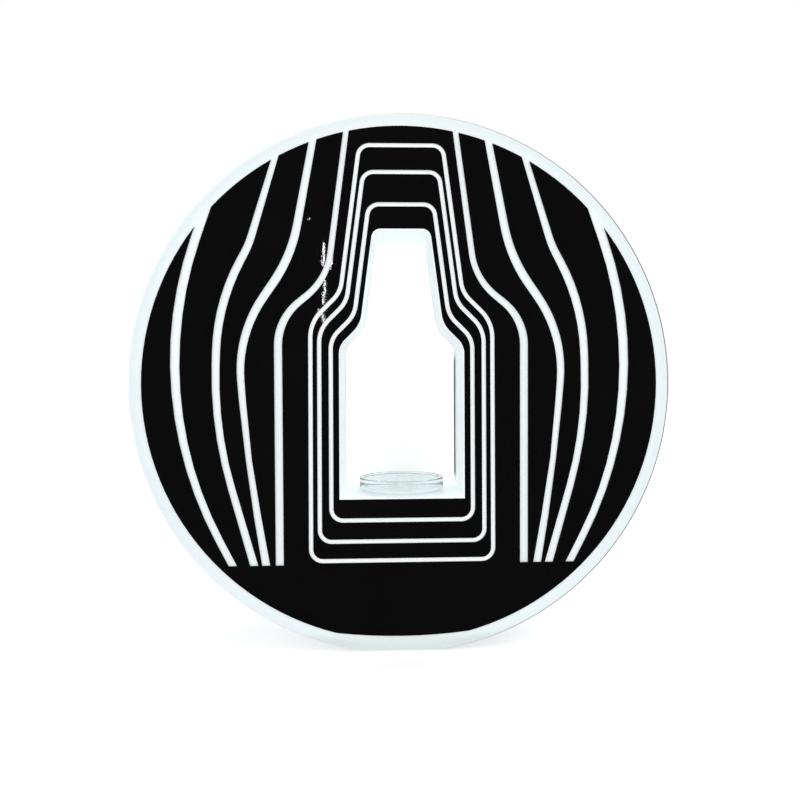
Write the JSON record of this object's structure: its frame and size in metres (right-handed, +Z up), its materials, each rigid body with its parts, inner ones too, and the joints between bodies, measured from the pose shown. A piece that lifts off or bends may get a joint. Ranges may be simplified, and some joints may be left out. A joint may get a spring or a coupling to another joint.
{
  "type": "lit coaster display",
  "caption": "Round free-standing light box with a glossy black front cut by light lines, and a lit niche in which a clear coaster holds a wine bottle.",
  "frame": {"origin": "on the table under the middle of the drum", "axes": "+Z up, the black face looks along -Y, +X to the right seen from the front"},
  "size_m": [0.65, 0.17, 0.648],
  "materials": {
    "black_acrylic": "polished black sheet",
    "opal_front": "opal acrylic, lit from behind",
    "opal_band": "opal acrylic, lit from inside",
    "opal_niche": "opal acrylic, lit from behind",
    "opal_shelf": "opal acrylic, satin",
    "opal_back": "opal acrylic, lit from behind",
    "white_sheet": "foamed sheet, fine satin",
    "white_acrylic": "sawn acrylic",
    "white_nylon": "turned nylon",
    "white_steel": "powder coat",
    "bare_steel": "mill finish",
    "zinc_screw": "zinc plated",
    "foot_rubber": "soft grey",
    "clear_acrylic": "polished clear",
    "clear_rubber": "soft clear",
    "lamp_white": "moulded white, lit",
    "lead_grey": "PVC insulation",
    "lead_black": "PVC insulation",
    "switch_black": "fine moulded grain",
    "rocker_black": "moulded gloss",
    "inlet_black": "fine moulded grain",
    "brass_blade": "plain"
  },
  "bodies": {
    "housing": {"face_panel": "black_acrylic", "outline_band_inner": "black_acrylic", "outline_band_middle": "black_acrylic", "outline_band_outer": "black_acrylic", "light_panel": "opal_front", "side_band": "opal_band", "back_cover": "white_sheet", "cover_blocks": "white_acrylic", "cover_screws": "zinc_screw", "niche_liner": "opal_niche", "niche_shelf": "opal_shelf", "niche_back": "opal_back", "back_spacers": "white_nylon", "spacer_screws": "zinc_screw", "shelf_stand": "white_steel", "stand_screws": "zinc_screw", "base_plate": "bare_steel", "base_screws": "zinc_screw", "feet": "foot_rubber", "lamp_modules": "lamp_white", "niche_lamps": "lamp_white", "lamp_leads": "lead_grey", "supply_leads": "lead_black", "switch_body": "switch_black", "switch_terminals": "brass_blade", "dc_inlet": "inlet_black", "inlet_contact": "brass_blade", "inlet_nut": "zinc_screw"},
    "coaster": {"coaster_disc": "clear_acrylic", "coaster_bumpers": "clear_rubber"},
    "rocker": {"switch_rocker": "rocker_black"}
  },
  "joints": [
    {"name": "coaster_slide", "type": "slide", "parent": "housing", "child": "coaster", "axis": [0, -1, 0], "range_m": [0, 0.15]},
    {"name": "rocker_hinge", "type": "hinge", "parent": "housing", "child": "rocker", "pos_m": [-0.07, 0.077, 0.073], "axis": [-1, 0, 0], "range_deg": [0, 16]}
  ]
}
